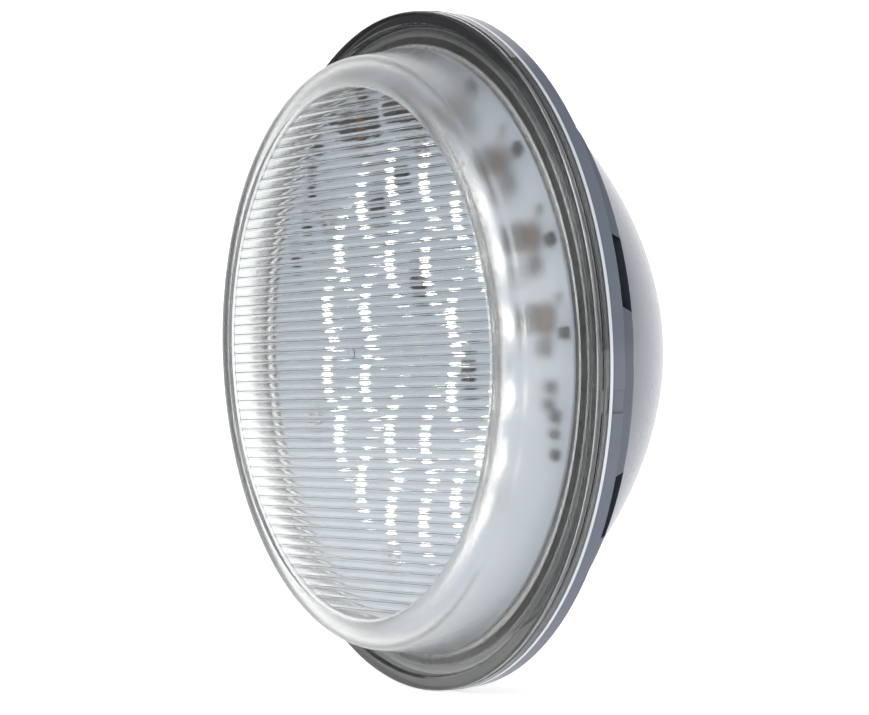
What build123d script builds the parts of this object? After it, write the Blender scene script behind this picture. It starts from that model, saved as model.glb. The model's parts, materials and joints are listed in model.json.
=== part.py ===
"""Underwater pool light, 7 inch size: clear ribbed lens, LED light engine, grey flooded rear shell.

Millimetres. The lens axis is Y and the lens faces -Y. +Z is up. The origin is the centre of the
flange's rear face.
"""

from build123d import *
import math
import os

# ---- driving dimensions ----------------------------------------------------------------------
# stations along the lens axis
WINDOW_FRONT_Y = -25.6
WINDOW_BACK_Y = -23.2
LENS_GUTTER_Y = -7.4
LENS_RIM_Y = -8.2
LENS_BACK_Y = -4.4
BOARD_FRONT_Y = -6.6
BOARD_BACK_Y = -5.0
PAD_BACK_Y = -4.6
SINK_RIM_FRONT_Y = -4.3
SINK_BACK_Y = -2.0
SHELL_FRONT_Y = -4.3
BOND_BACK_Y = -3.6
FLANGE_BACK_Y = 0.0
COLLAR_FRONT_Y = 0.6
COLLAR_END_Y = 9.5
REAR_PLATE_Y = 50.0
BOSS_BACK_Y = 52.6
BARRIER_BACK_Y = 61.0

# lens
WINDOW_R = 69.0
SHOULDER_R = 6.0
SHOULDER_CENTRE_R = 71.5
SHOULDER_CENTRE_Y = -20.6
LENS_WALL = 3.4
SIDE_FOOT_R = 79.4
SIDE_FOOT_Y = -8.8
SKIRT_INNER_R = 76.9
GUTTER_R = 80.8
STEP_R = 85.8
STEP_ROUND = 0.6
LENS_FLANGE_R = 89.0
RIM_ROUND = 0.8
EDGE_GROOVE_Y = -6.6
EDGE_GROOVE_WIDTH = 0.8
EDGE_GROOVE_DEPTH = 0.35
RIB_PITCH = 2.62
RIB_COUNT = 53
RIB_FLANK_HEIGHT = 0.36
RIB_FLANK_WIDTH = 0.4
RIB_CROWN = 0.04
GATE_MARK_R = 1.5
GATE_MARK_HEIGHT = 0.25

# key flats on the rims, and the slots in pairs about them
KEY_ANGLE = -9.1
KEY_SPREAD = 3.75
KEY_COUNT = 4
SLOT_FRONT_Y = 1.0
SLOT_BACK_Y = 9.2
SLOT_NEAR = 19.7
SLOT_FAR = 37.1
SLOT_LEAN = 0.55
SLOT_INNER_REACH = 50.0
SLOT_OUTER_REACH = 84.0

# seals
GASKET_INNER_R = 79.5
GASKET_OUTER_R = 82.3
GASKET_FRONT_Y = -5.6
GROOVE_PLAY = 0.1
BOND_INNER_R = 88.0
BOND_OUTER_R = 89.1

# shell
SHELL_FLANGE_R = 88.8
SHELL_RECESS_R = 83.7
SHELL_WALL = 2.6
LEDGE_INNER_R = 75.0
LEDGE_BACK_Y = 0.4
COLLAR_FRONT_R = 79.5
COLLAR_BACK_R = 79.2
COLLAR_ROUND = 0.8
DOME_START_R = 75.0
DOME_ARC_R = 130.6
DOME_ARC_CENTRE_R = -32.3
DOME_ARC_CENTRE_Y = -64.0
REAR_PLATE_WALL = 3.0
STEM_OUTER_R = 18.0
STEM_INNER_R = 15.2
STEM_FRONT_Y = 2.0
STEM_GROOVE_DEPTH = 1.7
STEM_SEAL_R = 16.6
STEM_SEAL_SECTION_R = 0.8

# terminals
TERMINAL_SPACING = 22.0
BOSS_LENGTH = 44.0
BOSS_WIDTH = 22.0
BARRIER_WALL = 2.4
BARRIER_INSET = 0.8
POST_R = 3.6
POST_HEAD_R = 5.5
POST_FRONT_Y = 38.0
POST_TOP_Y = 53.8
POST_BORE_R = 2.05
POST_BORE_END_Y = 41.6
WASHER_R = 5.2
WASHER_HOLE_R = 2.3
WASHER_THICKNESS = 1.2
SCREW_R = 2.0
SCREW_LENGTH = 11.5
SCREW_HEAD_R = 3.8
SCREW_HEAD_HEIGHT = 2.6

# light engine
BOARD_R = 75.4
SINK_R = 75.6
SINK_RIM_R = 83.4
CABLE_HOLE_R = 8.0
LED_ANGLE = 6.9
OUTER_RING_R = 44.5
OUTER_RING_COUNT = 16
INNER_RING_R = 24.4
INNER_RING_COUNT = 8
LED_SIZE = 5.0
LED_HEIGHT = 0.6
EMITTER_R = 2.0
EMITTER_DEPTH = 0.4
DRIVER_ANGLES = (5.9, 24.2, 45.0, 66.0, 87.0, 108.5)
BOARD_SCREW_COUNT = 6
BOARD_SCREW_RING_R = 54.5
LEAD_R = 1.2
LEAD_OFFSET = 5.0


os.makedirs("parts", exist_ok=True)


# ---- helpers ---------------------------------------------------------------------------------
def facing(y):
    """A plane across the lens axis at y, with X to the right and Z up. Extrusion goes forward."""
    return Plane.XZ.offset(-y)


def ring(inner_r, outer_r, front_y, back_y):
    """A flat ring about the lens axis, made inside the part that is open."""
    with BuildSketch(facing(back_y)) as flat:
        Circle(outer_r)
        Circle(inner_r, mode=Mode.SUBTRACT)
    extrude(flat.sketch, amount=back_y - front_y)


def on_arc(degrees, radius, centre_r, centre_y):
    """A point (radius, y) on an arc whose angle is counted from the outward radial direction."""
    angle = math.radians(degrees)
    return (centre_r + radius * math.cos(angle), centre_y + radius * math.sin(angle))


def save(part, label):
    part.label = label
    export_step(part, f"parts/{label}.step")


def polar(radius, degrees):
    angle = math.radians(degrees)
    return (radius * math.cos(angle), radius * math.sin(angle))


def sector(angle, spread, inner_r, outer_r):
    """A pie-shaped outline between two radii, drawn in the sketch that is open."""
    low = angle - spread / 2
    high = angle + spread / 2
    with BuildLine() as outline:
        Line(polar(inner_r, low), polar(outer_r, low))
        ThreePointArc(polar(outer_r, low), polar(outer_r, angle), polar(outer_r, high))
        Line(polar(outer_r, high), polar(inner_r, high))
        ThreePointArc(polar(inner_r, high), polar(inner_r, angle), polar(inner_r, low))
    make_face(outline.edges())


# ---- front lens ------------------------------------------------------------------------------
SHOULDER_START = 108.0
INNER_SHOULDER_R = SHOULDER_R - LENS_WALL


def cut_key_flats(rim_r, front_y, back_y, depth=0.5):
    """Shallow flats across a rim, one at each key angle."""
    for key in range(KEY_COUNT):
        with BuildSketch(facing(back_y)) as flat:
            sector(KEY_ANGLE + key * 360 / KEY_COUNT, KEY_SPREAD, rim_r - depth, rim_r + 1)
        extrude(flat.sketch, amount=back_y - front_y, mode=Mode.SUBTRACT)


with BuildPart() as ribs:
    first = -RIB_COUNT * RIB_PITCH / 2
    rib_root_y = WINDOW_BACK_Y + 0.1
    embedded_y = WINDOW_BACK_Y - 0.5
    flank_y = rib_root_y + RIB_FLANK_HEIGHT
    bulge_y = rib_root_y + RIB_FLANK_HEIGHT * math.sin(math.pi / 4)
    bulge_width = RIB_FLANK_WIDTH * (1 - math.cos(math.pi / 4))
    with BuildSketch(Plane.YZ):
        with BuildLine():
            for i in range(RIB_COUNT):
                low = first + i * RIB_PITCH
                high = low + RIB_PITCH
                ThreePointArc(
                    (rib_root_y, low),
                    (bulge_y, low + bulge_width),
                    (flank_y, low + RIB_FLANK_WIDTH),
                )
                ThreePointArc(
                    (flank_y, low + RIB_FLANK_WIDTH),
                    (flank_y + RIB_CROWN, (low + high) / 2),
                    (flank_y, high - RIB_FLANK_WIDTH),
                )
                ThreePointArc(
                    (flank_y, high - RIB_FLANK_WIDTH),
                    (bulge_y, high - bulge_width),
                    (rib_root_y, high),
                )
            Polyline(
                (rib_root_y, -first),
                (embedded_y, -first),
                (embedded_y, first),
                (rib_root_y, first),
            )
        make_face()
    extrude(amount=WINDOW_R + 5, both=True)
    with BuildSketch(facing(WINDOW_BACK_Y + 5)):
        Circle(WINDOW_R)
    extrude(amount=10, mode=Mode.INTERSECT)

with BuildPart() as front_lens:
    with BuildSketch(Plane.XY):
        with BuildLine():
            crest_in = on_arc(-SHOULDER_START, SHOULDER_R, SHOULDER_CENTRE_R, SHOULDER_CENTRE_Y)
            crest_mid = on_arc(-55, SHOULDER_R, SHOULDER_CENTRE_R, SHOULDER_CENTRE_Y)
            side_top = on_arc(0, SHOULDER_R, SHOULDER_CENTRE_R, SHOULDER_CENTRE_Y)
            Line((0, WINDOW_FRONT_Y), (WINDOW_R, WINDOW_FRONT_Y))
            Line((WINDOW_R, WINDOW_FRONT_Y), crest_in)
            ThreePointArc(crest_in, crest_mid, side_top)
            Line(side_top, (SIDE_FOOT_R, SIDE_FOOT_Y))
            ThreePointArc(
                (SIDE_FOOT_R, SIDE_FOOT_Y),
                (SIDE_FOOT_R + 0.5, LENS_GUTTER_Y - 0.45),
                (GUTTER_R, LENS_GUTTER_Y),
            )
            Polyline(
                (GUTTER_R, LENS_GUTTER_Y),
                (STEP_R - STEP_ROUND - 0.2, LENS_GUTTER_Y),
                (STEP_R - STEP_ROUND, LENS_RIM_Y + STEP_ROUND),
            )
            round_share = 1 - math.cos(math.pi / 4)
            ThreePointArc(
                (STEP_R - STEP_ROUND, LENS_RIM_Y + STEP_ROUND),
                (STEP_R - STEP_ROUND * (1 - round_share), LENS_RIM_Y + STEP_ROUND * round_share),
                (STEP_R, LENS_RIM_Y),
            )
            Line((STEP_R, LENS_RIM_Y), (LENS_FLANGE_R - RIM_ROUND, LENS_RIM_Y))
            ThreePointArc(
                (LENS_FLANGE_R - RIM_ROUND, LENS_RIM_Y),
                (LENS_FLANGE_R - RIM_ROUND * round_share, LENS_RIM_Y + RIM_ROUND * round_share),
                (LENS_FLANGE_R, LENS_RIM_Y + RIM_ROUND),
            )
            Polyline(
                (LENS_FLANGE_R, LENS_RIM_Y + RIM_ROUND),
                (LENS_FLANGE_R, EDGE_GROOVE_Y - EDGE_GROOVE_WIDTH / 2),
                (LENS_FLANGE_R - EDGE_GROOVE_DEPTH, EDGE_GROOVE_Y - EDGE_GROOVE_WIDTH / 4),
                (LENS_FLANGE_R - EDGE_GROOVE_DEPTH, EDGE_GROOVE_Y + EDGE_GROOVE_WIDTH / 4),
                (LENS_FLANGE_R, EDGE_GROOVE_Y + EDGE_GROOVE_WIDTH / 2),
                (LENS_FLANGE_R, LENS_BACK_Y),
                (GASKET_OUTER_R + GROOVE_PLAY, LENS_BACK_Y),
                (GASKET_OUTER_R + GROOVE_PLAY, GASKET_FRONT_Y),
                (GASKET_INNER_R - GROOVE_PLAY, GASKET_FRONT_Y),
                (GASKET_INNER_R - GROOVE_PLAY, LENS_BACK_Y),
                (SKIRT_INNER_R, LENS_BACK_Y),
                (SHOULDER_CENTRE_R + INNER_SHOULDER_R, SHOULDER_CENTRE_Y),
            )
            ThreePointArc(
                on_arc(0, INNER_SHOULDER_R, SHOULDER_CENTRE_R, SHOULDER_CENTRE_Y),
                on_arc(-45, INNER_SHOULDER_R, SHOULDER_CENTRE_R, SHOULDER_CENTRE_Y),
                on_arc(-90, INNER_SHOULDER_R, SHOULDER_CENTRE_R, SHOULDER_CENTRE_Y),
            )
            Polyline(
                on_arc(-90, INNER_SHOULDER_R, SHOULDER_CENTRE_R, SHOULDER_CENTRE_Y),
                (0, WINDOW_BACK_Y),
                (0, WINDOW_FRONT_Y),
            )
        make_face()
    revolve(axis=Axis.Y)
    add(ribs.part)
    with BuildSketch(facing(WINDOW_FRONT_Y)):
        Circle(GATE_MARK_R)
    extrude(amount=GATE_MARK_HEIGHT)
    cut_key_flats(LENS_FLANGE_R, LENS_RIM_Y + RIM_ROUND + 0.1, LENS_BACK_Y)
save(front_lens.part, "front_lens")

# ---- seals between lens, heat sink and shell -------------------------------------------------
with BuildPart() as lens_gasket:
    ring(GASKET_INNER_R, GASKET_OUTER_R, GASKET_FRONT_Y, SINK_RIM_FRONT_Y)
save(lens_gasket.part, "lens_gasket")

with BuildPart() as lens_bond:
    ring(BOND_INNER_R, BOND_OUTER_R, LENS_BACK_Y, BOND_BACK_Y)
save(lens_bond.part, "lens_bond")

with BuildPart() as stem_seal:
    with BuildSketch(Plane.XY):
        with Locations((STEM_SEAL_R, STEM_FRONT_Y + STEM_SEAL_SECTION_R)):
            Circle(STEM_SEAL_SECTION_R)
    revolve(axis=Axis.Y)
save(stem_seal.part, "stem_seal")

# ---- rear shell: flange, collar with slots, dome, stem and terminal boss ---------------------
DOME_END_R = 31.4


def dome_point(radius, inset=0.0):
    """The dome's surface at a radius, or a surface inset from it."""
    arc_r = DOME_ARC_R - inset
    y = DOME_ARC_CENTRE_Y + math.sqrt(arc_r**2 - (radius - DOME_ARC_CENTRE_R) ** 2)
    return (radius, y)


with BuildPart() as rear_shell:
    dome_start = (DOME_START_R, dome_point(DOME_START_R)[1])
    blend_start = (DOME_START_R + 1.6, COLLAR_END_Y + 0.2)
    blend_mid = (DOME_START_R + 0.65, COLLAR_END_Y + 0.75)
    with BuildSketch(Plane.XY):
        with BuildLine():
            Polyline(
                (0, SHELL_FRONT_Y),
                (BOND_INNER_R, SHELL_FRONT_Y),
                (BOND_INNER_R, BOND_BACK_Y),
                (SHELL_FLANGE_R, BOND_BACK_Y),
                (SHELL_FLANGE_R, FLANGE_BACK_Y),
                (COLLAR_FRONT_R + 0.6, FLANGE_BACK_Y),
                (COLLAR_FRONT_R, COLLAR_FRONT_Y),
                (COLLAR_BACK_R, COLLAR_END_Y - COLLAR_ROUND),
            )
            ThreePointArc(
                (COLLAR_BACK_R, COLLAR_END_Y - COLLAR_ROUND),
                (COLLAR_BACK_R - COLLAR_ROUND * round_share, COLLAR_END_Y - COLLAR_ROUND * round_share),
                (COLLAR_BACK_R - COLLAR_ROUND, COLLAR_END_Y),
            )
            Line((COLLAR_BACK_R - COLLAR_ROUND, COLLAR_END_Y), blend_start)
            ThreePointArc(blend_start, blend_mid, dome_start)
            ThreePointArc(dome_start, dome_point(56), (DOME_END_R, REAR_PLATE_Y))
            Polyline(
                (DOME_END_R, REAR_PLATE_Y),
                (0, REAR_PLATE_Y),
                (0, SHELL_FRONT_Y),
            )
        make_face()
    revolve(axis=Axis.Y)
    # the flooded space inside
    inner_end_r = DOME_END_R - 1.0
    rear_inner_y = REAR_PLATE_Y - REAR_PLATE_WALL
    with BuildSketch(Plane.XY):
        with BuildLine():
            inner_start = dome_point(DOME_START_R - SHELL_WALL, SHELL_WALL)
            inner_end = dome_point(inner_end_r, SHELL_WALL)
            Polyline(
                (0, SHELL_FRONT_Y),
                (SHELL_RECESS_R, SHELL_FRONT_Y),
                (SHELL_RECESS_R, SINK_BACK_Y),
                (LEDGE_INNER_R, SINK_BACK_Y),
                (LEDGE_INNER_R, LEDGE_BACK_Y),
                (COLLAR_FRONT_R - SHELL_WALL, LEDGE_BACK_Y),
                (COLLAR_BACK_R - SHELL_WALL, SLOT_BACK_Y - 0.3),
                inner_start,
            )
            ThreePointArc(inner_start, dome_point(54, SHELL_WALL), inner_end)
            Polyline(
                inner_end,
                (inner_end_r, min(inner_end[1], rear_inner_y)),
                (0, min(inner_end[1], rear_inner_y)),
                (0, SHELL_FRONT_Y),
            )
        make_face()
    revolve(axis=Axis.Y, mode=Mode.SUBTRACT)
    # stem that carries the leads, with the seal's groove in its front end
    with BuildSketch(facing(REAR_PLATE_Y - 1)):
        Circle(STEM_OUTER_R)
        Circle(STEM_INNER_R, mode=Mode.SUBTRACT)
    extrude(amount=REAR_PLATE_Y - 1 - STEM_FRONT_Y)
    with BuildSketch(facing(STEM_FRONT_Y + STEM_GROOVE_DEPTH)):
        Circle(STEM_SEAL_R + 0.85)
        Circle(STEM_SEAL_R - 0.85, mode=Mode.SUBTRACT)
    extrude(amount=STEM_GROOVE_DEPTH, mode=Mode.SUBTRACT)
    # terminal boss and the barrier between the terminals
    with BuildSketch(facing(BOSS_BACK_Y)):
        RectangleRounded(BOSS_LENGTH, BOSS_WIDTH, 5)
    extrude(amount=BOSS_BACK_Y - REAR_PLATE_Y + 1)
    with BuildSketch(facing(BARRIER_BACK_Y)):
        Rectangle(BARRIER_WALL, BOSS_WIDTH - 2 * BARRIER_INSET)
    extrude(amount=BARRIER_BACK_Y - BOSS_BACK_Y + 1)
    with BuildSketch(facing(BOSS_BACK_Y + 2)):
        with GridLocations(TERMINAL_SPACING, 0, 2, 1):
            Circle(POST_R)
    extrude(amount=BOSS_BACK_Y - REAR_PLATE_Y + 10, mode=Mode.SUBTRACT)
    # cooling slots through the collar, in pairs that lean towards their key angle
    for key in range(KEY_COUNT):
        key_angle = math.radians(KEY_ANGLE + key * 360 / KEY_COUNT)
        outward = Vector(math.cos(key_angle), 0, math.sin(key_angle))
        across = Vector(-math.sin(key_angle), 0, math.cos(key_angle))
        slot_lean = SLOT_LEAN * (SLOT_BACK_Y - SLOT_FRONT_Y)
        for side in (-1, 1):
            with BuildSketch(Plane(origin=outward * SLOT_INNER_REACH, x_dir=across, z_dir=outward)):
                with BuildLine():
                    Polyline(
                        (side * SLOT_NEAR, -SLOT_BACK_Y),
                        (side * SLOT_FAR, -SLOT_BACK_Y),
                        (side * (SLOT_FAR + slot_lean), -SLOT_FRONT_Y),
                        (side * (SLOT_NEAR + slot_lean), -SLOT_FRONT_Y),
                        close=True,
                    )
                make_face()
            extrude(amount=SLOT_OUTER_REACH - SLOT_INNER_REACH, mode=Mode.SUBTRACT)
    cut_key_flats(SHELL_FLANGE_R, SHELL_FRONT_Y, FLANGE_BACK_Y)
save(rear_shell.part, "rear_shell")

# ---- heat sink -------------------------------------------------------------------------------
FIN_THICKNESS = 1.6
FIN_PITCH = 8.0
FIN_COUNT = 17
FIN_TIP_Y = 8.0
FIN_REACH_R = 66.0
FIN_CLEAR_R = 21.5
SCREW_BOSS_R = 4.0
SCREW_BOSS_Y = 3.0
BOARD_SCREW_R = 1.5
BOARD_SCREW_END_Y = 1.0
BOARD_SCREW_HEAD_R = 2.8
BOARD_SCREW_HEAD = 1.9
BOARD_SCREW_ANGLE = LED_ANGLE + 180 / OUTER_RING_COUNT


def board_screw_places():
    return PolarLocations(BOARD_SCREW_RING_R, BOARD_SCREW_COUNT, BOARD_SCREW_ANGLE)


with BuildPart() as heat_sink:
    ring(CABLE_HOLE_R, SINK_R, PAD_BACK_Y, SINK_BACK_Y)
    ring(SINK_R - 2, SINK_RIM_R, SINK_RIM_FRONT_Y, SINK_BACK_Y)
    ring(CABLE_HOLE_R, STEM_OUTER_R + 1, SINK_BACK_Y - 0.5, STEM_FRONT_Y)
    with BuildSketch(facing(FIN_TIP_Y)):
        with GridLocations(FIN_PITCH, 0, FIN_COUNT, 1):
            Rectangle(FIN_THICKNESS, 2 * FIN_REACH_R)
        Circle(FIN_REACH_R, mode=Mode.INTERSECT)
        Circle(FIN_CLEAR_R, mode=Mode.SUBTRACT)
    extrude(amount=FIN_TIP_Y - SINK_BACK_Y + 0.5)
    with BuildSketch(facing(SCREW_BOSS_Y)):
        with board_screw_places():
            Circle(SCREW_BOSS_R)
    extrude(amount=SCREW_BOSS_Y - SINK_BACK_Y + 0.5)
    with BuildSketch(facing(BOARD_SCREW_END_Y + 0.5)):
        with board_screw_places():
            Circle(BOARD_SCREW_R)
    extrude(amount=BOARD_SCREW_END_Y + 0.5 - PAD_BACK_Y + 1, mode=Mode.SUBTRACT)
save(heat_sink.part, "heat_sink")

# ---- thermal pad, board and board screws -----------------------------------------------------
with BuildPart() as thermal_pad:
    with BuildSketch(facing(PAD_BACK_Y)):
        Circle(BOARD_R - 1)
        Circle(CABLE_HOLE_R, mode=Mode.SUBTRACT)
        with board_screw_places():
            Circle(BOARD_SCREW_R + 0.3, mode=Mode.SUBTRACT)
    extrude(amount=PAD_BACK_Y - BOARD_BACK_Y)
save(thermal_pad.part, "thermal_pad")

LEAD_PIN_R = 0.8

with BuildPart() as led_board:
    with BuildSketch(facing(BOARD_BACK_Y)):
        Circle(BOARD_R)
        with board_screw_places():
            Circle(BOARD_SCREW_R + 0.1, mode=Mode.SUBTRACT)
        with GridLocations(2 * LEAD_OFFSET, 0, 2, 1):
            Circle(LEAD_PIN_R, mode=Mode.SUBTRACT)
    extrude(amount=BOARD_BACK_Y - BOARD_FRONT_Y)
save(led_board.part, "led_board")

with BuildPart() as board_screws:
    with BuildSketch(facing(BOARD_SCREW_END_Y)):
        with board_screw_places():
            Circle(BOARD_SCREW_R - 0.02)
    extrude(amount=BOARD_SCREW_END_Y - BOARD_FRONT_Y)
    with BuildSketch(facing(BOARD_FRONT_Y)):
        with board_screw_places():
            Circle(BOARD_SCREW_HEAD_R)
    extrude(amount=BOARD_SCREW_HEAD)
    fillet(board_screws.edges().group_by(Axis.Y)[0], 0.6)
    with BuildSketch(facing(BOARD_FRONT_Y - BOARD_SCREW_HEAD + 1)):
        with board_screw_places():
            Rectangle(2.8, 0.7)
            Rectangle(0.7, 2.8)
    extrude(amount=2, mode=Mode.SUBTRACT)
save(board_screws.part, "board_screws")

# ---- LEDs ------------------------------------------------------------------------------------
INNER_LED_ANGLE = LED_ANGLE + 180 / OUTER_RING_COUNT


def led_shape(shape):
    """Draws a shape at each LED of both rings, in the sketch that is open."""
    with PolarLocations(OUTER_RING_R, OUTER_RING_COUNT, LED_ANGLE):
        shape()
    with PolarLocations(INNER_RING_R, INNER_RING_COUNT, INNER_LED_ANGLE):
        shape()


with BuildPart() as led_packages:
    with BuildSketch(facing(BOARD_FRONT_Y)):
        led_shape(lambda: RectangleRounded(LED_SIZE, LED_SIZE, 0.4))
    extrude(amount=LED_HEIGHT)
    with BuildSketch(facing(BOARD_FRONT_Y - LED_HEIGHT + EMITTER_DEPTH)):
        led_shape(lambda: Circle(EMITTER_R))
    extrude(amount=1, mode=Mode.SUBTRACT)
save(led_packages.part, "led_packages")

with BuildPart() as led_emitters:
    with BuildSketch(facing(BOARD_FRONT_Y - LED_HEIGHT + EMITTER_DEPTH)):
        led_shape(lambda: Circle(EMITTER_R))
    extrude(amount=EMITTER_DEPTH + 0.1)
save(led_emitters.part, "led_emitters")

# ---- driver parts at the board's edge --------------------------------------------------------
# each driver part: radius, turn from the driver's angle, radial size, tangential size, height
CORE_FLANGE_R = 3.8
CORE_NECK_R = 1.8
COIL_R = 3.4
CORE_BASE = 1.3
COIL_HEIGHT = 2.8
INDUCTOR_RING_R = 64.4
CHIP = dict(radius=63.4, turn=-6.2, radial=4.0, tangential=4.4, height=1.6)
DIODE = dict(radius=72.6, turn=-3.6, radial=2.6, tangential=2.8, height=1.8)
CAPACITOR = dict(radius=70.8, turn=3.6, radial=2.4, tangential=1.8, height=1.2)
RESISTOR = dict(radius=59.8, turn=-6.2, radial=1.3, tangential=2.6, height=0.6)


# places of their own as (radius, angle, radial size, tangential size): diodes at the board's edge,
# bridge rectifiers among the LEDs, and the surge parts beside the first driver
EDGE_DIODE_PLACES = (
    (72.6, 118.6, 2.2, 2.6),
    (72.4, 127.6, 2.4, 2.6),
    (70.3, 132.9, 2.4, 2.2),
    (66.6, 137.0, 2.4, 2.6),
    (63.4, 145.7, 2.2, 2.6),
    (65.2, 156.0, 2.2, 2.2),
)
BRIDGE_PLACES = (
    (19.4, 67.0, 4.0, 5.6),
    (41.5, 108.0, 3.6, 5.0),
    (46.4, 89.0, 3.6, 5.0),
    (31.6, -10.6, 4.0, 5.6),
)
SURGE_PLACES = (
    (66.2, -8.6, 3.0, 2.6),
    (65.6, -12.4, 2.4, 2.6),
    (69.2, -14.2, 2.8, 2.8),
    (69.8, -17.8, 2.4, 1.8),
    (71.4, -21.6, 2.0, 2.2),
)


def driver_places(radius, turn=0.0):
    """A place for each driver at a radius, turned so that X runs outward."""
    angles = [angle + turn for angle in DRIVER_ANGLES]
    return Locations(*[Location((*polar(radius, angle), 0), (0, 0, angle)) for angle in angles])


def driver_blocks(radius, turn, radial, tangential, height):
    """One small block for each driver, standing on the board, in the part that is open."""
    with BuildSketch(facing(BOARD_FRONT_Y)) as blocks:
        with driver_places(radius, turn):
            Rectangle(radial, tangential)
    extrude(blocks.sketch, amount=height)


def loose_blocks(places, height):
    """Blocks at (radius, angle, radial, tangential) places of their own."""
    for radius, angle, radial, tangential in places:
        with BuildSketch(facing(BOARD_FRONT_Y)) as block:
            with PolarLocations(radius, 1, angle):
                Rectangle(radial, tangential)
        extrude(block.sketch, amount=height)


with BuildPart() as inductor_cores:
    coil_front_y = BOARD_FRONT_Y - CORE_BASE - COIL_HEIGHT
    stages = (
        (CORE_FLANGE_R, BOARD_FRONT_Y, CORE_BASE),
        (CORE_NECK_R, BOARD_FRONT_Y - CORE_BASE, COIL_HEIGHT),
        (CORE_FLANGE_R, coil_front_y, CORE_BASE),
    )
    for radius, back_y, height in stages:
        with BuildSketch(facing(back_y)):
            with driver_places(INDUCTOR_RING_R):
                Circle(radius)
        extrude(amount=height)
save(inductor_cores.part, "inductor_cores")

with BuildPart() as inductor_coils:
    with BuildSketch(facing(BOARD_FRONT_Y - CORE_BASE)):
        with driver_places(INDUCTOR_RING_R):
            Circle(COIL_R)
            Circle(CORE_NECK_R, mode=Mode.SUBTRACT)
    extrude(amount=COIL_HEIGHT)
save(inductor_coils.part, "inductor_coils")

with BuildPart() as driver_chips:
    driver_blocks(**CHIP)
save(driver_chips.part, "driver_chips")

with BuildPart() as rectifier_diodes:
    driver_blocks(**DIODE)
    loose_blocks(EDGE_DIODE_PLACES, height=DIODE["height"])
save(rectifier_diodes.part, "rectifier_diodes")

with BuildPart() as filter_capacitors:
    driver_blocks(**CAPACITOR)
save(filter_capacitors.part, "filter_capacitors")

with BuildPart() as chip_resistors:
    driver_blocks(**RESISTOR)
save(chip_resistors.part, "chip_resistors")

with BuildPart() as bridge_rectifiers:
    loose_blocks(BRIDGE_PLACES, height=1.8)
save(bridge_rectifiers.part, "bridge_rectifiers")

with BuildPart() as surge_suppressors:
    loose_blocks(SURGE_PLACES, height=1.8)
save(surge_suppressors.part, "surge_suppressors")

# ---- supply leads, their solder joints and the resin plug ------------------------------------
LEAD_BEND_R = 6.0
RESIN_FRONT_Y = 32.0

with BuildPart() as lead_pads:
    with BuildSketch(facing(BOARD_BACK_Y)):
        with GridLocations(2 * LEAD_OFFSET, 0, 2, 1):
            Circle(LEAD_PIN_R)
    extrude(amount=BOARD_BACK_Y - BOARD_FRONT_Y)
    with BuildSketch(facing(BOARD_FRONT_Y)):
        with GridLocations(2 * LEAD_OFFSET, 0, 2, 1):
            Circle(2.0)
    extrude(amount=0.8, taper=25)
save(lead_pads.part, "lead_pads")

with BuildPart() as supply_leads:
    for side in (-1, 1):
        post_x = side * TERMINAL_SPACING / 2
        board_x = side * LEAD_OFFSET
        with BuildLine() as route:
            FilletPolyline(
                (post_x, POST_FRONT_Y, 0),
                (post_x, 28, 0),
                (board_x, 14, 0),
                (board_x, BOARD_BACK_Y, 0),
                radius=LEAD_BEND_R,
            )
        with BuildSketch(Plane(origin=(post_x, POST_FRONT_Y, 0), z_dir=(0, -1, 0))):
            Circle(LEAD_R)
        sweep(path=route.line)
save(supply_leads.part, "supply_leads")

with BuildPart() as terminal_posts:
    for x in (-TERMINAL_SPACING / 2, TERMINAL_SPACING / 2):
        for radius, back_y, front_y in (
            (POST_R, BOSS_BACK_Y, POST_FRONT_Y),
            (POST_HEAD_R, POST_TOP_Y, BOSS_BACK_Y),
        ):
            with BuildSketch(facing(back_y)):
                with Locations((x, 0)):
                    Circle(radius)
            extrude(amount=back_y - front_y)
        with BuildSketch(facing(POST_TOP_Y)):
            with Locations((x, 0)):
                Circle(POST_BORE_R)
        extrude(amount=POST_TOP_Y - POST_BORE_END_Y, mode=Mode.SUBTRACT)
save(terminal_posts.part, "terminal_posts")

with BuildPart() as lead_potting:
    with BuildSketch(facing(REAR_PLATE_Y - REAR_PLATE_WALL)):
        Circle(STEM_INNER_R)
    extrude(amount=REAR_PLATE_Y - REAR_PLATE_WALL - RESIN_FRONT_Y)
    add(supply_leads.part, mode=Mode.SUBTRACT)
    add(terminal_posts.part, mode=Mode.SUBTRACT)
    with BuildSketch(facing(POST_TOP_Y)):
        with GridLocations(TERMINAL_SPACING, 0, 2, 1):
            Circle(POST_R)
    extrude(amount=POST_TOP_Y - POST_FRONT_Y, mode=Mode.SUBTRACT)
save(lead_potting.part, "lead_potting")

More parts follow.
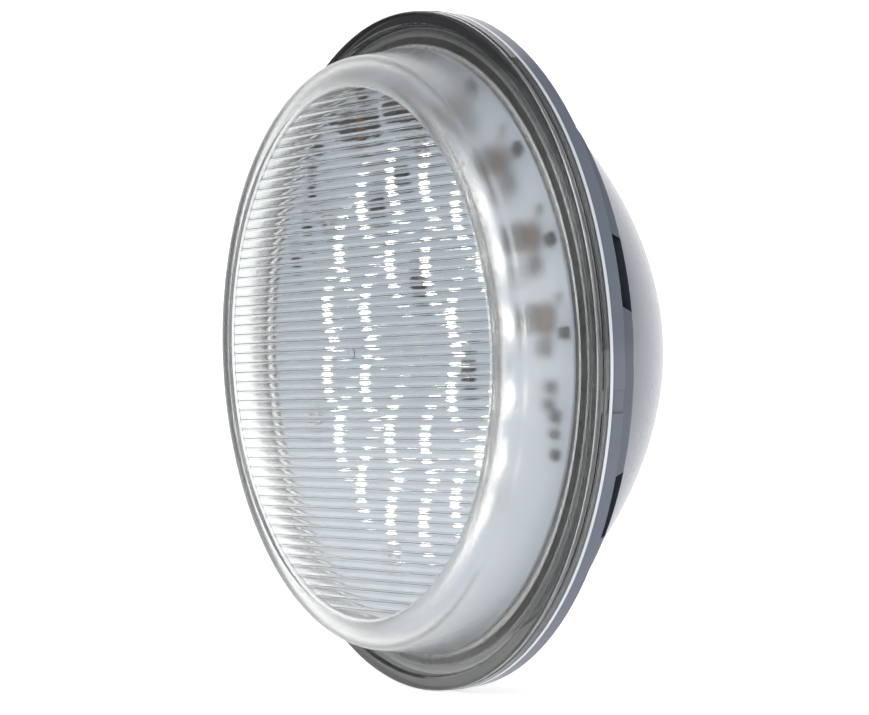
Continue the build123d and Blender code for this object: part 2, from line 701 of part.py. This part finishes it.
# ---- terminal screws and clamp washers -------------------------------------------------------
for side_name, x in (("left", -TERMINAL_SPACING / 2), ("right", TERMINAL_SPACING / 2)):
    washer_back_y = POST_TOP_Y + WASHER_THICKNESS
    head_back_y = washer_back_y + SCREW_HEAD_HEIGHT
    with BuildPart() as washer:
        with BuildSketch(facing(washer_back_y)):
            with Locations((x, 0)):
                Circle(WASHER_R)
                Circle(WASHER_HOLE_R, mode=Mode.SUBTRACT)
        extrude(amount=WASHER_THICKNESS)
    save(washer.part, f"clamp_washer_{side_name}")

    with BuildPart() as screw:
        with BuildSketch(facing(head_back_y)):
            with Locations((x, 0)):
                Circle(SCREW_HEAD_R)
        extrude(amount=SCREW_HEAD_HEIGHT)
        fillet(screw.edges().group_by(Axis.Y)[-1], 0.8)
        with BuildSketch(facing(washer_back_y)):
            with Locations((x, 0)):
                Circle(SCREW_R)
        extrude(amount=SCREW_LENGTH)
        chamfer(screw.edges().group_by(Axis.Y)[0], 0.4)
        with BuildSketch(facing(head_back_y + 1)):
            with Locations((x, 0)):
                Rectangle(1.0, 5.0)
                Rectangle(5.0, 1.0)
        extrude(amount=2.3, mode=Mode.SUBTRACT)
    save(screw.part, f"terminal_screw_{side_name}")
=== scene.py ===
"""Looks of the underwater pool light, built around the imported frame.

Lengths are in metres unless a name ends in MM. The lens looks along -Y and its axis is the Y axis.
"""

import json
import math

import bpy
from mathutils import Matrix, Vector


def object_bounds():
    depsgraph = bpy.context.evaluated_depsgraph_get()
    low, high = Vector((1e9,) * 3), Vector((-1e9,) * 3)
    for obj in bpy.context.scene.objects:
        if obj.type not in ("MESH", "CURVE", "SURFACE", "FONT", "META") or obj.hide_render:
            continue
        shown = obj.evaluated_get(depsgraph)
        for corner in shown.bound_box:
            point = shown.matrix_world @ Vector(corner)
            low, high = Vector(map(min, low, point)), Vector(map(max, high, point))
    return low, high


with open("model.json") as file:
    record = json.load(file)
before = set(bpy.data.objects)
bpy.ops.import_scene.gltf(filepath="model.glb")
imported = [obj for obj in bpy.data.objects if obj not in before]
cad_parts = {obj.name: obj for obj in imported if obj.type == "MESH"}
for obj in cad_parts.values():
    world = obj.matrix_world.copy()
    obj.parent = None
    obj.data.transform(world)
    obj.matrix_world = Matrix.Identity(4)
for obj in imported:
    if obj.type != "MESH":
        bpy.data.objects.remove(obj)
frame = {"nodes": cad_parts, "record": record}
cad_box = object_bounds()
scene = bpy.context.scene
MM = 0.001

# ---- camera ------------------------------------------------------------------------------------
CAMERA_AZIMUTH = math.radians(59.537)
CAMERA_ELEVATION = math.radians(-0.013)
CAMERA_ROLL = math.radians(-2.133)
CAMERA_OFFSET_MM = (-0.678, -1.844)
CAMERA_DISTANCE_MM = 844.76
CAMERA_LENS_MM = 132.68
SENSOR_WIDTH_MM = 36
CLIP_START = 0.01
CLIP_END = 50


def add_camera():
    """A camera that looks at the lamp from its right front, with the photograph's slight roll."""
    az, el = CAMERA_AZIMUTH, CAMERA_ELEVATION
    back = Vector((math.sin(az) * math.cos(el), -math.cos(az) * math.cos(el), math.sin(el)))
    level_right = Vector((math.cos(az), math.sin(az), 0))
    level_up = back.cross(level_right)
    right = level_right * math.cos(CAMERA_ROLL) + level_up * math.sin(CAMERA_ROLL)
    up = level_up * math.cos(CAMERA_ROLL) - level_right * math.sin(CAMERA_ROLL)
    place = right * CAMERA_OFFSET_MM[0] + up * CAMERA_OFFSET_MM[1] + back * CAMERA_DISTANCE_MM
    data = bpy.data.cameras.new("camera")
    data.lens = CAMERA_LENS_MM
    data.sensor_width = SENSOR_WIDTH_MM
    data.clip_start = CLIP_START
    data.clip_end = CLIP_END
    camera = bpy.data.objects.new("camera", data)
    rows = [[right[i], up[i], back[i], place[i] * MM] for i in range(3)]
    camera.matrix_world = Matrix(rows + [[0, 0, 0, 1]])
    scene.collection.objects.link(camera)
    scene.camera = camera


# ---- node helpers ------------------------------------------------------------------------------
class Nodes:
    """A material's node tree with short ways to add and join nodes."""

    def __init__(self, name):
        self.material = bpy.data.materials.new(name)
        self.material.use_nodes = True
        self.tree = self.material.node_tree
        self.shader = self.tree.nodes["Principled BSDF"]
        self.output = self.tree.nodes["Material Output"]

    def add(self, kind, **values):
        node = self.tree.nodes.new("ShaderNode" + kind)
        for key, value in values.items():
            setattr(node, key, value)
        return node

    def link(self, source, target):
        self.tree.links.new(source, target)

    def place(self):
        return self.add("TexCoord").outputs["Object"]

    def separate(self, vector):
        node = self.add("SeparateXYZ")
        self.link(vector, node.inputs[0])
        return node.outputs

    def math(self, operation, first, second=None):
        """A Math node whose inputs are numbers or other nodes' outputs."""
        node = self.add("Math", operation=operation)
        for socket, value in zip(node.inputs, (first, second)):
            if value is None:
                continue
            if isinstance(value, (int, float)):
                socket.default_value = value
            else:
                self.link(value, socket)
        return node.outputs[0]

    def radius(self, x, z):
        """Distance from the lens axis."""
        squares = [self.math("MULTIPLY", value, value) for value in (x, z)]
        return self.math("SQRT", self.math("ADD", *squares))

    def noise(self, scale, detail=2.0, vector=None):
        node = self.add("TexNoise")
        node.inputs["Scale"].default_value = scale
        node.inputs["Detail"].default_value = detail
        self.link(vector or self.place(), node.inputs["Vector"])
        return node.outputs["Fac"]

    def ranged(self, value, low, high, to_low, to_high, smooth=False):
        """The value mapped from low..high to to_low..to_high, and held at the ends."""
        node = self.add("MapRange")
        if smooth:
            node.interpolation_type = "SMOOTHSTEP"
        self.link(value, node.inputs["Value"])
        node.inputs["From Min"].default_value = low
        node.inputs["From Max"].default_value = high
        node.inputs["To Min"].default_value = to_low
        node.inputs["To Max"].default_value = to_high
        return node.outputs["Result"]

    def ramp(self, value, stops):
        node = self.add("ValToRGB")
        while len(node.color_ramp.elements) < len(stops):
            node.color_ramp.elements.new(0.5)
        for element, (place, colour) in zip(node.color_ramp.elements, stops):
            element.position = place
            element.color = (*colour, 1)
        self.link(value, node.inputs["Fac"])
        return node.outputs["Color"]

    def mix(self, share, start_colour, end):
        """A fixed colour where share is 0 that turns into the colour of another node where it is 1."""
        node = self.add("MixRGB")
        self.link(share, node.inputs["Fac"])
        node.inputs["Color1"].default_value = (*start_colour, 1)
        self.link(end, node.inputs["Color2"])
        return node.outputs["Color"]

    def bump(self, height, strength, distance):
        node = self.add("Bump")
        node.inputs["Strength"].default_value = strength
        node.inputs["Distance"].default_value = distance
        self.link(height, node.inputs["Height"])
        self.link(node.outputs["Normal"], self.shader.inputs["Normal"])

    def set(self, **values):
        """Values for the shader's own sockets, such as coat_weight=0.2."""
        for key, value in values.items():
            name = key.replace("_", " ").title().replace("Ior", "IOR")
            socket = self.shader.inputs[name]
            socket.default_value = (*value, 1) if isinstance(value, tuple) else value


CLOUD_SCALE = 60.0
GRAIN_SCALE = 900.0
GRAIN_HEIGHT = 0.0002
NOISE_LOW = 0.3
NOISE_HIGH = 0.7
DULLEST = 1.1
GLOSSIEST = 0.9


def plastic(name, colours, roughness, bump=0.03, coat=0.0, metal=0.0):
    """A moulded or coated surface: colour that varies a little, uneven gloss and a fine surface grain."""
    nodes = Nodes(name)
    cloudy = nodes.noise(CLOUD_SCALE, detail=3.0)
    colour = nodes.ramp(cloudy, ((NOISE_LOW, colours[0]), (NOISE_HIGH, colours[1])))
    nodes.link(colour, nodes.shader.inputs["Base Color"])
    grain = nodes.noise(GRAIN_SCALE)
    gloss = nodes.ranged(grain, NOISE_LOW, NOISE_HIGH, roughness * GLOSSIEST, roughness * DULLEST)
    nodes.link(gloss, nodes.shader.inputs["Roughness"])
    nodes.set(metallic=metal, coat_weight=coat)
    nodes.bump(grain, strength=bump, distance=GRAIN_HEIGHT)
    return nodes


# ---- lens: its edges and faces lie where the part has them ---------------------------------------
EDGE_BLEND = 0.0002
LENS_IOR = 1.56
WINDOW_EDGE = 0.069
WINDOW_INNER_Y = -0.0243
CLEAR_TINT = (0.95, 0.965, 0.96)
CLEAR_ROUGHNESS = 0.015
FROST_TINT = (0.925, 0.935, 0.93)
FROST_END = 0.0846
FROST_FADE = 0.0018
FROST_ROUGHNESS = 0.24
FROST_CLEARNESS = 0.985
FROST_GRAIN_SCALE = 2600.0
FROST_GRAIN_DEPTH = 0.00006
STRIATION_SCALE = 4000.0
STRIATION_STRETCH = 0.02
STRIATION_DEPTH = 0.000008
RIB_HALF_PITCH = 0.00131
RIB_CURVE_DEPTH = 0.00036
RIB_CURVE_POWER = 3.0
LENS_PAINTED_SHADE_Y = -0.00445
# Colour of the painted shade on the hidden faces around the lens flange.
PAINTED_SHADE_COLOUR = (0.012, 0.012, 0.016)
LENS_SHADOW_TINT = (0.8, 0.81, 0.81)


def frosted_share(nodes, radius):
    """1 on the frosted shoulder and side wall, 0 on the window and the flange."""
    past_window = nodes.ranged(radius, WINDOW_EDGE - EDGE_BLEND, WINDOW_EDGE + 2 * EDGE_BLEND, 0.0, 1.0)
    before_flange = nodes.ranged(radius, FROST_END - FROST_FADE, FROST_END, 1.0, 0.0, smooth=True)
    return nodes.math("MULTIPLY", past_window, before_flange)


def unshaded_share(nodes, y, radius):
    """0 on the flange's rear face, which is made opaque and dark as painted shade, and 1 elsewhere."""
    before_face = nodes.ranged(y, LENS_PAINTED_SHADE_Y - EDGE_BLEND / 2, LENS_PAINTED_SHADE_Y, 1.0, 0.0)
    inside_flange = nodes.ranged(radius, FROST_END - EDGE_BLEND, FROST_END, 1.0, 0.0)
    return nodes.math("MAXIMUM", before_face, inside_flange)


def rib_height(nodes, x, y, z, radius):
    """Inside the window each rib is rounded, and finely scratched along its length."""
    behind_window = nodes.ranged(y, WINDOW_INNER_Y - EDGE_BLEND, WINDOW_INNER_Y, 0.0, 1.0)
    within_window = nodes.ranged(radius, WINDOW_EDGE, WINDOW_EDGE + EDGE_BLEND, 1.0, 0.0)
    inside = nodes.math("MULTIPLY", behind_window, within_window)
    from_middle = nodes.math("DIVIDE", nodes.math("PINGPONG", z, RIB_HALF_PITCH), RIB_HALF_PITCH)
    fall = nodes.math("POWER", from_middle, RIB_CURVE_POWER)
    rounding = nodes.math("MULTIPLY", fall, -RIB_CURVE_DEPTH)
    stretched = nodes.add("CombineXYZ")
    nodes.link(nodes.math("MULTIPLY", x, STRIATION_STRETCH), stretched.inputs["X"])
    nodes.link(z, stretched.inputs["Z"])
    striations = nodes.noise(STRIATION_SCALE, detail=3.0, vector=stretched.outputs[0])
    scratches = nodes.math("MULTIPLY", striations, STRIATION_DEPTH)
    return nodes.math("MULTIPLY", nodes.math("ADD", rounding, scratches), inside)


def let_light_pass(nodes, tint):
    """Light passes the clear material straight through, so that it reaches what is behind it."""
    pass_light = nodes.add("BsdfTransparent")
    pass_light.inputs["Color"].default_value = (*tint, 1)
    light_path = nodes.add("LightPath")
    mixed = nodes.add("MixShader")
    nodes.link(light_path.outputs["Is Shadow Ray"], mixed.inputs["Fac"])
    nodes.link(nodes.shader.outputs[0], mixed.inputs[1])
    nodes.link(pass_light.outputs[0], mixed.inputs[2])
    nodes.link(mixed.outputs[0], nodes.output.inputs["Surface"])


def lens_material():
    """Clear polycarbonate with a frosted shoulder and side, a polished flange and a ribbed window."""
    nodes = Nodes("clear_lens")
    x, y, z = nodes.separate(nodes.place())
    radius = nodes.radius(x, z)
    frosted = frosted_share(nodes, radius)
    unshaded = unshaded_share(nodes, y, radius)
    clearness = nodes.ranged(frosted, 0.0, 1.0, 1.0, FROST_CLEARNESS)
    # Painted shade: the flange's rear face lets no light through and is coloured dark.
    nodes.link(nodes.math("MULTIPLY", clearness, unshaded), nodes.shader.inputs["Transmission Weight"])
    tint = nodes.ramp(frosted, ((0.0, CLEAR_TINT), (1.0, FROST_TINT)))
    nodes.link(nodes.mix(unshaded, PAINTED_SHADE_COLOUR, tint), nodes.shader.inputs["Base Color"])
    gloss = nodes.ranged(frosted, 0.0, 1.0, CLEAR_ROUGHNESS, FROST_ROUGHNESS)
    nodes.link(gloss, nodes.shader.inputs["Roughness"])
    grain_depth = nodes.math("MULTIPLY", frosted, FROST_GRAIN_DEPTH)
    grain = nodes.math("MULTIPLY", nodes.noise(FROST_GRAIN_SCALE), grain_depth)
    height = nodes.math("ADD", grain, rib_height(nodes, x, y, z, radius))
    nodes.bump(height, strength=1.0, distance=1.0)
    nodes.set(ior=LENS_IOR)
    let_light_pass(nodes, LENS_SHADOW_TINT)
    return nodes.material


# ---- shell, bead and light ---------------------------------------------------------------------
SHELL_PAINTED_SHADE_Y = -0.0041
BEAD_FACE_RADIUS = 0.08895


def paint_shade(nodes, share):
    """Painted shade colour where share is 0, and the surface's own colour where it is 1."""
    base = nodes.shader.inputs["Base Color"]
    own_colour = base.links[0].from_socket
    nodes.link(nodes.mix(share, PAINTED_SHADE_COLOUR, own_colour), base)


def shell_material():
    """Blue-grey semi-gloss moulding, with painted shade in black on the face that the lens is sealed to.
    """
    nodes = plastic("shell_plastic", ((0.105, 0.117, 0.15), (0.115, 0.127, 0.16)), 0.22, bump=0.01)
    nodes.set(specular_ior_level=0.35)
    y = nodes.separate(nodes.place())["Y"]
    # Painted shade: the shell's face under the lens flange is coloured near black.
    paint_shade(nodes, nodes.ranged(y, SHELL_PAINTED_SHADE_Y - EDGE_BLEND / 2, SHELL_PAINTED_SHADE_Y, 0.0, 1.0))
    return nodes.material


def bead_material():
    """Pale cured bead, with painted shade on all of it but its outer face."""
    nodes = plastic("bond_bead", ((0.5, 0.52, 0.56), (0.56, 0.58, 0.62)), 0.25, coat=0.3)
    x, _, z = nodes.separate(nodes.place())
    radius = nodes.radius(x, z)
    # Painted shade: all of the bead inside its outer face is coloured near black.
    outer_face = nodes.ranged(radius, BEAD_FACE_RADIUS - EDGE_BLEND / 2, BEAD_FACE_RADIUS, 0.0, 1.0)
    paint_shade(nodes, outer_face)
    return nodes.material


def emitter_material():
    """Phosphor that is lit."""
    nodes = plastic("led_phosphor", ((1.0, 0.93, 0.75), (1.0, 0.95, 0.8)), 0.4)
    nodes.set(emission_color=(1.0, 0.96, 0.88), emission_strength=30.0)
    return nodes.material


# ---- the other materials: two colours that they drift between, roughness, any coat or metal ------
PLAIN_MATERIALS = {
    "seal_rubber": (((0.015, 0.015, 0.016), (0.03, 0.03, 0.031)), 0.6, {}),
    "sink_aluminium": (((0.008, 0.008, 0.009), (0.012, 0.012, 0.013)), 0.5, {"metal": 0.3}),
    "pad_rubber": (((0.35, 0.38, 0.42), (0.4, 0.43, 0.46)), 0.6, {}),
    "board_white": (((0.5, 0.54, 0.61), (0.54, 0.58, 0.65)), 0.4, {"coat": 0.2}),
    "screw_steel": (((0.55, 0.55, 0.56), (0.62, 0.62, 0.63)), 0.28, {"metal": 1.0}),
    "led_white": (((0.8, 0.8, 0.76), (0.85, 0.85, 0.8)), 0.3, {}),
    "ferrite": (((0.015, 0.015, 0.016), (0.03, 0.03, 0.03)), 0.5, {}),
    "copper_wire": (((0.2, 0.085, 0.04), (0.28, 0.12, 0.055)), 0.35, {"metal": 0.6}),
    "chip_black": (((0.01, 0.01, 0.011), (0.02, 0.02, 0.021)), 0.45, {}),
    "capacitor_grey": (((0.3, 0.3, 0.28), (0.36, 0.36, 0.34)), 0.4, {}),
    "resistor_black": (((0.012, 0.012, 0.012), (0.02, 0.02, 0.02)), 0.4, {}),
    "solder": (((0.6, 0.6, 0.62), (0.7, 0.7, 0.72)), 0.3, {"metal": 1.0}),
    "lead_jacket": (((0.015, 0.015, 0.016), (0.025, 0.025, 0.026)), 0.5, {}),
    "terminal_brass": (((0.62, 0.42, 0.15), (0.7, 0.5, 0.2)), 0.3, {"metal": 1.0}),
    "potting_resin": (((0.012, 0.012, 0.015), (0.02, 0.02, 0.024)), 0.2, {}),
}


def make_materials():
    materials = {
        "clear_lens": lens_material(),
        "shell_plastic": shell_material(),
        "bond_bead": bead_material(),
        "led_phosphor": emitter_material(),
    }
    for slot, (colours, roughness, extras) in PLAIN_MATERIALS.items():
        materials[slot] = plastic(slot, colours, roughness, **extras).material
    return materials


def paint_cad_nodes(materials):
    for subpart in frame["record"]["subparts"]:
        mesh = frame["nodes"][subpart["node"]].data
        mesh.materials.clear()
        mesh.materials.append(materials[subpart["material_slot"]])


# ---- studio ------------------------------------------------------------------------------------
def add_area(name, place, size, power):
    """A rectangular light that faces the lamp."""
    data = bpy.data.lights.new(name, "AREA")
    data.shape = "RECTANGLE"
    data.size, data.size_y = size
    data.energy = power
    light = bpy.data.objects.new(name, data)
    light.location = place
    light.rotation_euler = (-Vector(place)).to_track_quat("-Z", "Y").to_euler()
    scene.collection.objects.link(light)


FLOOR_FRONT = -3.0
FLOOR_TURN = 1.2
FLOOR_CURVE = 1.6
FLOOR_HEIGHT = 4.0
FLOOR_HALF_WIDTH = 6.0
CURVE_STEPS = 24
PAPER_COLOUR = (0.94, 0.94, 0.94)
PAPER_ROUGHNESS = 0.8
PAPER_GLOW = 0.6
LIT_HALF_WIDTH = 1.5
DIM_HALF_WIDTH = 3.6
DIM_LEVEL = 0.15


def paper_material(across):
    """White paper that fades to grey at the two sides of the sheet, where the lights do not reach."""
    nodes = Nodes("studio_paper")
    offset = nodes.add("VectorMath", operation="DOT_PRODUCT")
    offset.inputs[1].default_value = across
    nodes.link(nodes.place(), offset.inputs[0])
    aside = nodes.math("ABSOLUTE", offset.outputs["Value"])
    lit = nodes.ranged(aside, LIT_HALF_WIDTH, DIM_HALF_WIDTH, 1.0, DIM_LEVEL, smooth=True)
    shade = nodes.ramp(lit, ((0.0, (0.0, 0.0, 0.0)), (1.0, PAPER_COLOUR)))
    nodes.link(shade, nodes.shader.inputs["Base Color"])
    nodes.link(nodes.math("MULTIPLY", lit, PAPER_GLOW), nodes.shader.inputs["Emission Strength"])
    nodes.set(roughness=PAPER_ROUGHNESS, emission_color=(1, 1, 1))
    return nodes.material


def add_floor():
    """A pale floor that curves up into a backdrop behind the lamp, all one sheet."""
    low = cad_box[0].z
    away = Vector((-math.sin(CAMERA_AZIMUTH), math.cos(CAMERA_AZIMUTH), 0))
    across = Vector((math.cos(CAMERA_AZIMUTH), math.sin(CAMERA_AZIMUTH), 0))
    profile = [(FLOOR_FRONT, 0.0)]
    for step in range(CURVE_STEPS + 1):
        angle = math.pi / 2 * step / CURVE_STEPS
        distance = FLOOR_TURN + FLOOR_CURVE * math.sin(angle)
        profile.append((distance, FLOOR_CURVE * (1 - math.cos(angle))))
    profile.append((FLOOR_TURN + FLOOR_CURVE, FLOOR_HEIGHT))
    points = []
    for distance, height in profile:
        for side in (-1, 1):
            flat = away * distance + across * side * FLOOR_HALF_WIDTH
            points.append(flat + Vector((0, 0, low + height)))
    faces = [(2 * i, 2 * i + 1, 2 * i + 3, 2 * i + 2) for i in range(len(profile) - 1)]
    mesh = bpy.data.meshes.new("studio_floor")
    mesh.from_pydata(points, [], faces)
    mesh.shade_smooth()
    mesh.materials.append(paper_material(across))
    floor = bpy.data.objects.new("studio_floor", mesh)
    scene.collection.objects.link(floor)


WORLD_BRIGHT_SIDE = (0.62, -0.62, 0.48)
WORLD_COLOUR = (0.97, 0.985, 1)
WORLD_DARK = 0.3
WORLD_BRIGHT = 0.85
DARK_FACING = -0.3
BRIGHT_FACING = 0.95


def set_world():
    """Soft studio light from the right front, dimmer from above, behind and the left."""
    world = bpy.data.worlds.new("studio")
    world.use_nodes = True
    tree = world.node_tree
    direction = tree.nodes.new("ShaderNodeTexCoord").outputs["Generated"]
    facing = tree.nodes.new("ShaderNodeVectorMath")
    facing.operation = "DOT_PRODUCT"
    facing.inputs[1].default_value = WORLD_BRIGHT_SIDE
    tree.links.new(direction, facing.inputs[0])
    level = tree.nodes.new("ShaderNodeMapRange")
    level.interpolation_type = "SMOOTHSTEP"
    level.inputs["From Min"].default_value = DARK_FACING
    level.inputs["From Max"].default_value = BRIGHT_FACING
    level.inputs["To Min"].default_value = WORLD_DARK
    level.inputs["To Max"].default_value = WORLD_BRIGHT
    tree.links.new(facing.outputs["Value"], level.inputs["Value"])
    background = tree.nodes["Background"]
    background.inputs["Color"].default_value = (*WORLD_COLOUR, 1)
    tree.links.new(level.outputs["Result"], background.inputs["Strength"])
    scene.world = world
    scene.view_settings.view_transform = "Standard"


add_camera()
paint_cad_nodes(make_materials())
add_floor()
set_world()
add_area("key", place=(0.9, -1.2, 1.1), size=(0.9, 0.9), power=10)
add_area("fill", place=(1.4, 0.4, 0.3), size=(0.6, 1.2), power=4)
